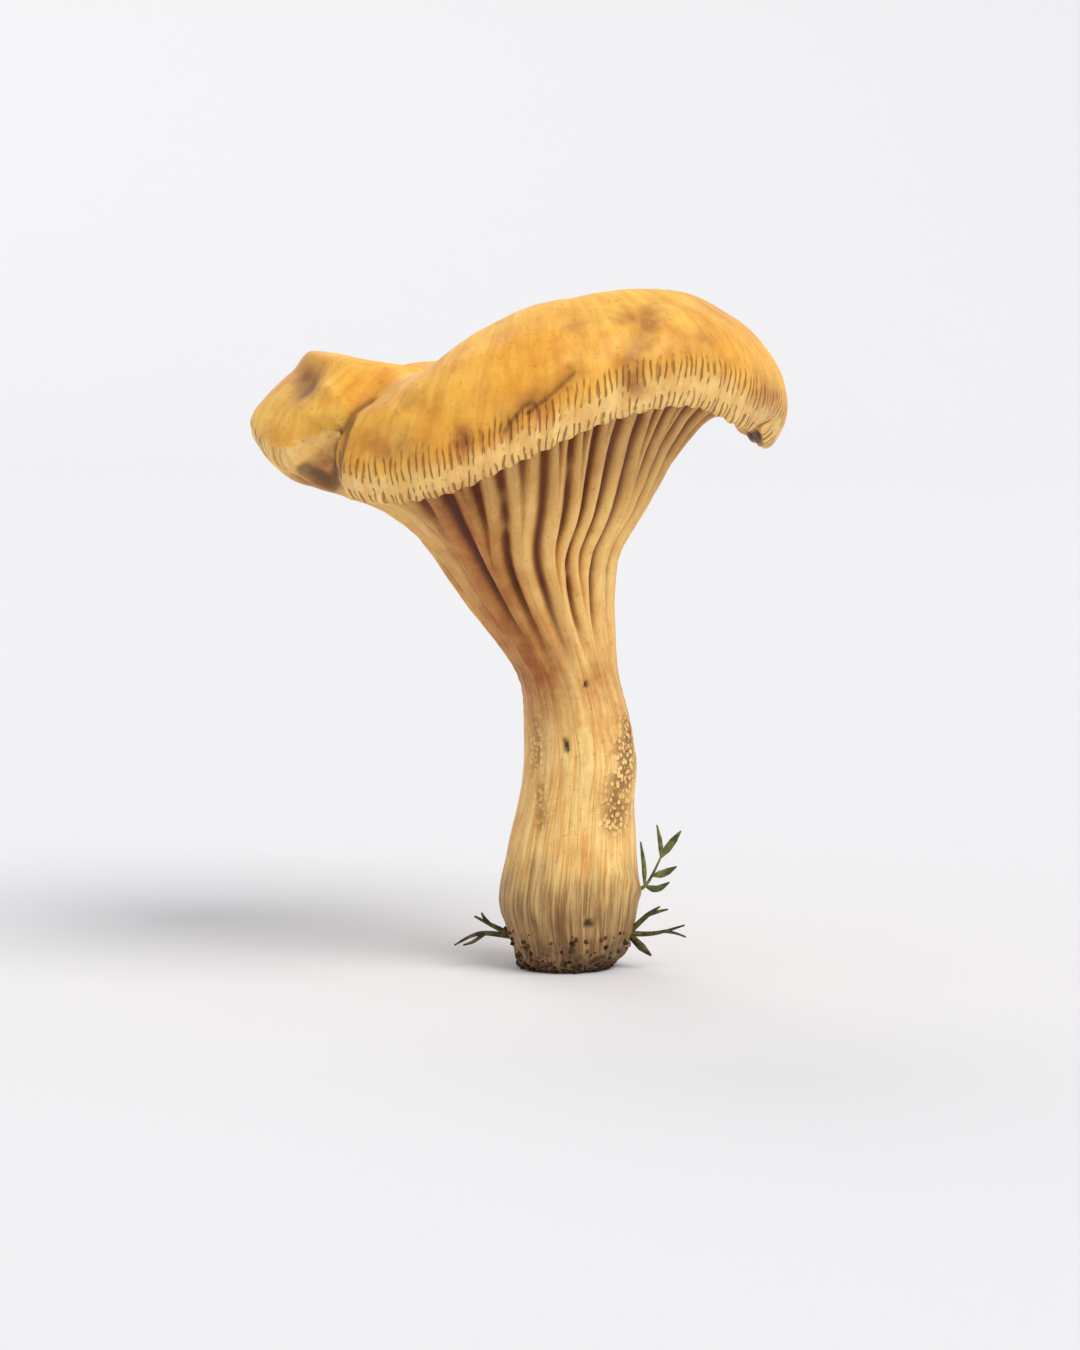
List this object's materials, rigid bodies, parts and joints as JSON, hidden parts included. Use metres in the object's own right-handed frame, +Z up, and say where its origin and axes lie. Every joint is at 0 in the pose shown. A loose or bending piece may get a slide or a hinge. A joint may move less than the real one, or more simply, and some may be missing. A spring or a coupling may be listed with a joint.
{
  "type": "chanterelle mushroom",
  "caption": "Wild chanterelle with a wavy funnel-shaped cap, forked gill ridges that run down the stem, and a cut foot with clinging moss.",
  "frame": {"origin": "on the flat cut of the foot, under the middle of the stem", "axes": "+Z up along the stem, -Y towards the viewer, +X to the viewer's right, where the cap's edge curls down"},
  "size_m": [0.0748, 0.0643, 0.0951],
  "materials": {
    "flesh": "matte",
    "moss": "matte",
    "leaf": "satin"
  },
  "bodies": {
    "root": {"chanterelle": "flesh", "moss_left": "moss", "moss_right": "moss", "leafy_sprig": "leaf"}
  },
  "joints": []
}
